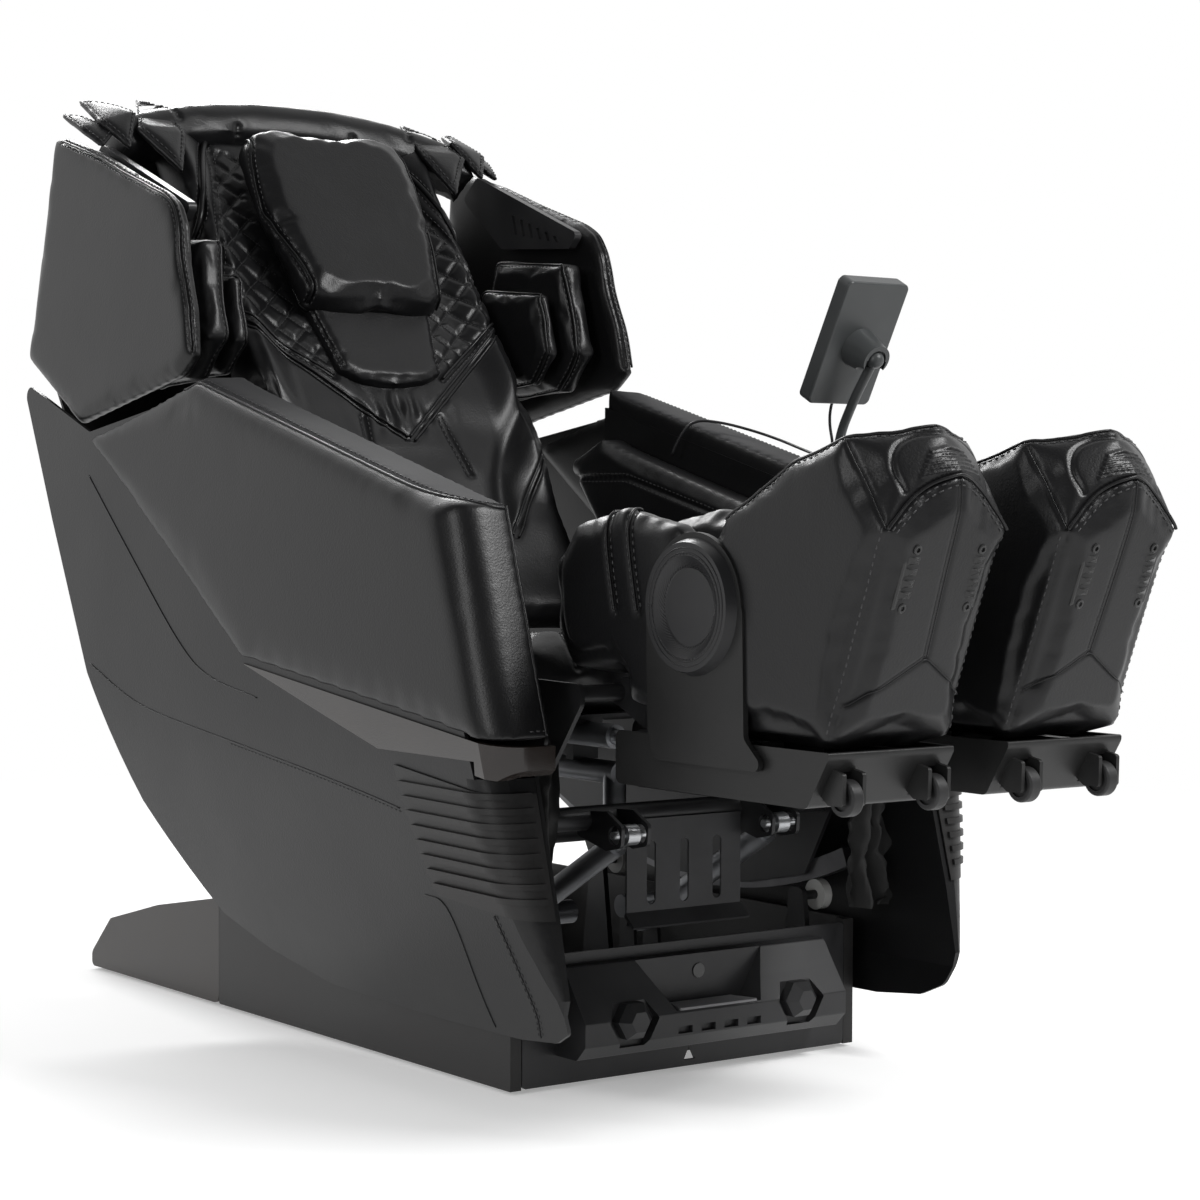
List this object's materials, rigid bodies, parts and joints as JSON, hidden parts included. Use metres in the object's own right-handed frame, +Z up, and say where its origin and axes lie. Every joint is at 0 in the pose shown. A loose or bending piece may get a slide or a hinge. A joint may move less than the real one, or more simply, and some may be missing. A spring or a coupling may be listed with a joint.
{
  "type": "massage chair",
  "caption": "Padded massage chair on a low base: curved rails, shoulder wings, split leg rests with wheels, and a remote tablet on a stalk.",
  "frame": {"origin": "floor under the chair, on its left-right centre plane, about amidships front to back", "axes": "+Z up, -Y the way the sitter faces, +X to the sitter's left"},
  "size_m": [0.778, 1.7643, 1.2847],
  "materials": {
    "airbag_cloth": "matt weave",
    "arm_suede": "matt",
    "back_leather": "soft sheen",
    "black_plastic": "fine texture",
    "button_plastic": "polished",
    "console_plastic": "fine texture",
    "cord_rubber": "matt",
    "drive_tube": "satin",
    "frame_paint": "satin powder coat",
    "gloss_trim": "polished",
    "leg_leather": "soft sheen",
    "pale_plastic": "satin",
    "panel_leather": "soft sheen",
    "plate_steel": "satin",
    "rod_steel": "ground",
    "roller_nylon": "satin",
    "rubber_foot": "matt",
    "seat_leather": "soft sheen",
    "side_leather": "soft sheen",
    "tablet_plastic": "satin",
    "wheel_tyre": "matt",
    "wing_leather": "soft sheen"
  },
  "bodies": {
    "base": {"base_frame": "frame_paint", "base_side_covers": "black_plastic", "base_rear_covers": "gloss_trim", "base_front_console": "console_plastic", "front_hex_caps": "console_plastic", "base_tray_plate": "pale_plastic", "base_feet": "rubber_foot", "power_inlet": "black_plastic", "air_pump": "drive_tube", "control_box": "plate_steel"},
    "power_button": {"power_button": "button_plastic"},
    "front_rollers": {"front_rollers": "roller_nylon"},
    "rear_rollers": {"rear_rollers": "roller_nylon"},
    "tilt_tubes": {"tilt_tubes": "drive_tube"},
    "tilt_rods": {"tilt_rods": "rod_steel"},
    "cradle": {"cradle_rails": "plate_steel", "seat_frame": "frame_paint", "actuator_tubes": "drive_tube", "guard_plate": "plate_steel", "seat_cushion": "seat_leather", "hip_pads": "seat_leather", "side_panel_left": "panel_leather", "side_panel_right": "panel_leather", "side_pad_left": "side_leather", "side_pad_right": "side_leather", "armrest_pads": "arm_suede", "trim_bands": "gloss_trim", "vent_grilles": "black_plastic", "remote_stalk": "tablet_plastic", "remote_cord": "cord_rubber"},
    "recline_rod": {"recline_rod": "rod_steel"},
    "backrest": {"back_frame": "frame_paint", "back_cover": "black_plastic", "back_pad": "back_leather", "pillow": "back_leather", "head_flaps": "back_leather", "shoulder_airbags": "airbag_cloth", "recess_panels": "console_plastic", "shoulder_wing_left": "wing_leather", "shoulder_wing_right": "wing_leather"},
    "massage_carriage": {"massage_carriage": "plate_steel"},
    "kneading_shaft": {"kneading_shaft": "roller_nylon"},
    "remote_tablet": {"remote_tablet": "tablet_plastic"},
    "leg_rod_left": {"leg_rod_left": "rod_steel"},
    "leg_left": {"calf_frame_left": "frame_paint", "calf_pad_left": "leg_leather"},
    "foot_left": {"foot_shell_left": "black_plastic", "foot_pad_left": "leg_leather", "side_disc_left": "black_plastic"},
    "wheel_outer_left": {"heel_wheel_outer_left": "wheel_tyre"},
    "wheel_inner_left": {"heel_wheel_inner_left": "wheel_tyre"},
    "leg_rod_right": {"leg_rod_right": "rod_steel"},
    "leg_right": {"calf_frame_right": "frame_paint", "calf_pad_right": "leg_leather"},
    "foot_right": {"foot_shell_right": "black_plastic", "foot_pad_right": "leg_leather", "side_disc_right": "black_plastic"},
    "wheel_outer_right": {"heel_wheel_outer_right": "wheel_tyre"},
    "wheel_inner_right": {"heel_wheel_inner_right": "wheel_tyre"}
  },
  "joints": [
    {"name": "cradle_tilt", "type": "hinge", "parent": "base", "child": "cradle", "pos_m": [0, -0.291, 0.944], "axis": [1, 0, 0], "range_deg": [-20, 0]},
    {"name": "front_roller_spin", "type": "hinge", "parent": "base", "child": "front_rollers", "pos_m": [0, -0.51131, 0.19545], "axis": [1, 0, 0], "range_deg": [-10, 770]},
    {"name": "rear_roller_spin", "type": "hinge", "parent": "base", "child": "rear_rollers", "pos_m": [0, -0.07069, 0.19545], "axis": [1, 0, 0], "range_deg": [-10, 770]},
    {"name": "tilt_tube_swing", "type": "hinge", "parent": "base", "child": "tilt_tubes", "pos_m": [0, -0.302, 0.145], "axis": [1, 0, 0], "range_deg": [-3, 1]},
    {"name": "tilt_rod_slide", "type": "slide", "parent": "tilt_tubes", "child": "tilt_rods", "axis": [0, -0.8729, 0.488], "range_m": [0, 0.26]},
    {"name": "back_recline", "type": "hinge", "parent": "cradle", "child": "backrest", "pos_m": [0, -0.02, 0.47], "axis": [1, 0, 0], "range_deg": [-35, 0]},
    {"name": "recline_rod_slide", "type": "slide", "parent": "cradle", "child": "recline_rod", "axis": [0, -1, 0], "range_m": [0, 0.08]},
    {"name": "massage_climb", "type": "slide", "parent": "backrest", "child": "massage_carriage", "axis": [0, 0.5446, 0.8387], "range_m": [-0.28, 0.32]},
    {"name": "kneading_spin", "type": "hinge", "parent": "massage_carriage", "child": "kneading_shaft", "pos_m": [0, 0.2345, 0.79011], "axis": [1, 0, 0], "continuous": true},
    {"name": "tablet_tilt", "type": "hinge", "parent": "cradle", "child": "remote_tablet", "pos_m": [0.338, -0.52, 0.899], "axis": [1, 0, 0], "range_deg": [-10, 10], "deforming": ["remote_cord"]},
    {"name": "power_press", "type": "slide", "parent": "base", "child": "power_button", "axis": [0, 1, 0], "range_m": [0, 0.002], "stiffness_N_per_m": 400},
    {"name": "leg_lift_left", "type": "hinge", "parent": "cradle", "child": "leg_left", "pos_m": [0, -0.65, 0.485], "axis": [1, 0, 0], "range_deg": [0, 68]},
    {"name": "leg_rod_slide_left", "type": "slide", "parent": "cradle", "child": "leg_rod_left", "axis": [0, 1, 0], "range_m": [0, 0.09]},
    {"name": "foot_slide_left", "type": "slide", "parent": "leg_left", "child": "foot_left", "axis": [0, 1, 0], "range_m": [-0.1, 0]},
    {"name": "wheel_spin_outer_left", "type": "hinge", "parent": "foot_left", "child": "wheel_outer_left", "pos_m": [0, -1.071, 0.397], "axis": [1, 0, 0], "continuous": true},
    {"name": "wheel_spin_inner_left", "type": "hinge", "parent": "foot_left", "child": "wheel_inner_left", "pos_m": [0, -1.071, 0.397], "axis": [1, 0, 0], "continuous": true},
    {"name": "leg_lift_right", "type": "hinge", "parent": "cradle", "child": "leg_right", "pos_m": [0, -0.65, 0.485], "axis": [1, 0, 0], "range_deg": [0, 68]},
    {"name": "leg_rod_slide_right", "type": "slide", "parent": "cradle", "child": "leg_rod_right", "axis": [0, 1, 0], "range_m": [0, 0.09]},
    {"name": "foot_slide_right", "type": "slide", "parent": "leg_right", "child": "foot_right", "axis": [0, 1, 0], "range_m": [-0.1, 0]},
    {"name": "wheel_spin_outer_right", "type": "hinge", "parent": "foot_right", "child": "wheel_outer_right", "pos_m": [0, -1.071, 0.397], "axis": [1, 0, 0], "continuous": true},
    {"name": "wheel_spin_inner_right", "type": "hinge", "parent": "foot_right", "child": "wheel_inner_right", "pos_m": [0, -1.071, 0.397], "axis": [1, 0, 0], "continuous": true}
  ],
  "couplings": [
    {"joint": "front_roller_spin", "follows": "cradle_tilt", "ratio": -38},
    {"joint": "rear_roller_spin", "follows": "cradle_tilt", "ratio": -38},
    {"joint": "tilt_tube_swing", "follows": "cradle_tilt", "ratio": 0.1},
    {"joint": "tilt_rod_slide", "follows": "cradle_tilt", "m_per_rad": -0.704},
    {"joint": "recline_rod_slide", "follows": "back_recline", "m_per_rad": -0.11355},
    {"joint": "leg_rod_slide_left", "follows": "leg_lift_left", "m_per_rad": 0.0682},
    {"joint": "leg_rod_slide_right", "follows": "leg_lift_right", "m_per_rad": 0.0682}
  ]
}
